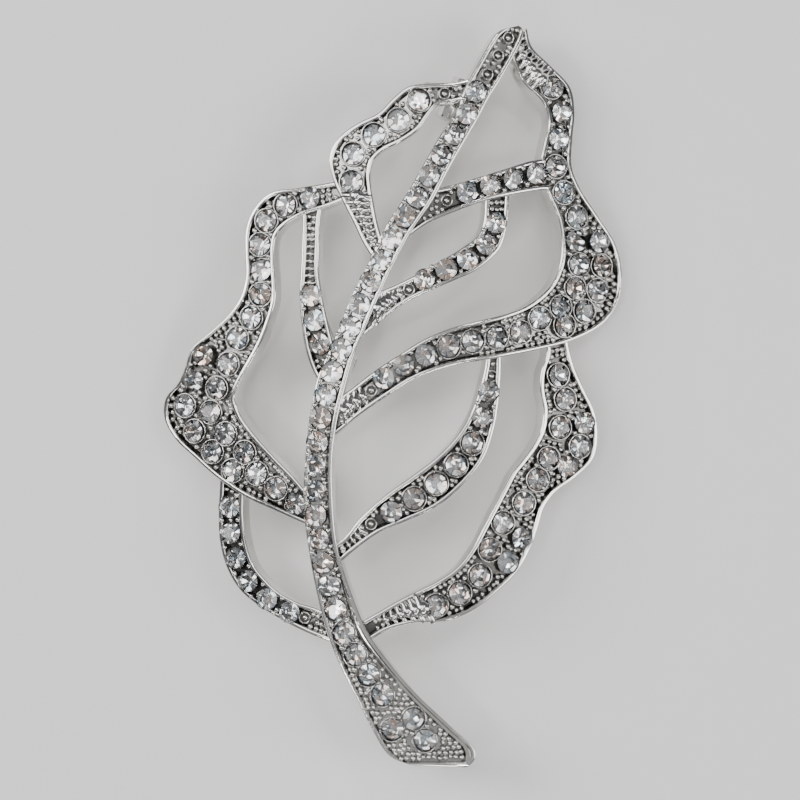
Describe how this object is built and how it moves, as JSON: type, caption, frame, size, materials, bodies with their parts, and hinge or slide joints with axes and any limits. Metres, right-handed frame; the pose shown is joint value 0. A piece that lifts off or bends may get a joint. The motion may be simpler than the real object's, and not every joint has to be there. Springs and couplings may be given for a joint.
{
  "type": "brooch",
  "caption": "Openwork leaf brooch on a shallow dome, stone-set strands with bright rails, with a hinged pin and a turning safety catch on its back.",
  "frame": {"origin": "centre of the surface the brooch lies on, under the middle of its box", "axes": "+Z out of the front of the leaf, +Y from the stem end towards the leaf tip, +X to the right seen from the front"},
  "size_m": [0.0404, 0.0646, 0.0079],
  "materials": {
    "plated_casting": "bright rhodium plate",
    "pin_steel": "drawn wire, satin",
    "crystal": "faceted, foil backed"
  },
  "bodies": {
    "root": {"leaf_casting": "plated_casting", "hinge_joint": "plated_casting", "hinge_rivet": "pin_steel", "catch_body": "plated_casting", "midrib_stone_01": "crystal", "midrib_stone_02": "crystal", "midrib_stone_03": "crystal", "midrib_stone_04": "crystal", "midrib_stone_05": "crystal", "midrib_stone_06": "crystal", "midrib_stone_07": "crystal", "midrib_stone_08": "crystal", "midrib_stone_09": "crystal", "midrib_stone_10": "crystal", "midrib_stone_11": "crystal", "midrib_stone_12": "crystal", "midrib_stone_13": "crystal", "midrib_stone_14": "crystal", "midrib_stone_15": "crystal", "midrib_stone_16": "crystal", "midrib_stone_17": "crystal", "midrib_stone_18": "crystal", "midrib_stone_19": "crystal", "midrib_stone_20": "crystal", "midrib_stone_21": "crystal", "midrib_stone_22": "crystal", "midrib_stone_23": "crystal", "midrib_stone_24": "crystal", "midrib_stone_25": "crystal", "midrib_stone_26": "crystal", "midrib_stone_27": "crystal", "midrib_stone_28": "crystal", "midrib_stone_29": "crystal", "midrib_stone_30": "crystal", "midrib_stone_31": "crystal", "middle_vein_stones": "crystal", "right_lobe_stones": "crystal", "upper_vein_stones": "crystal", "left_vein_stones": "crystal", "lower_left_lobe_stones": "crystal", "left_lobe_stones": "crystal", "tip_lobe_stones": "crystal", "tip_vein_stones": "crystal", "upper_left_lobe_stones": "crystal"},
    "pin": {"pin_stem": "pin_steel"},
    "roller": {"catch_roller": "plated_casting"}
  },
  "joints": [
    {"name": "pin_hinge", "type": "hinge", "parent": "root", "child": "pin", "pos_m": [-0.00508, 0.0026, 0.0018], "axis": [-0.8991, 0.4378, 0], "range_deg": [0, 100]},
    {"name": "roller_turn", "type": "hinge", "parent": "root", "child": "roller", "pos_m": [0.00612, 0.0256, 0.0018], "axis": [-0.4378, -0.8991, 0], "range_deg": [0, 160]}
  ]
}
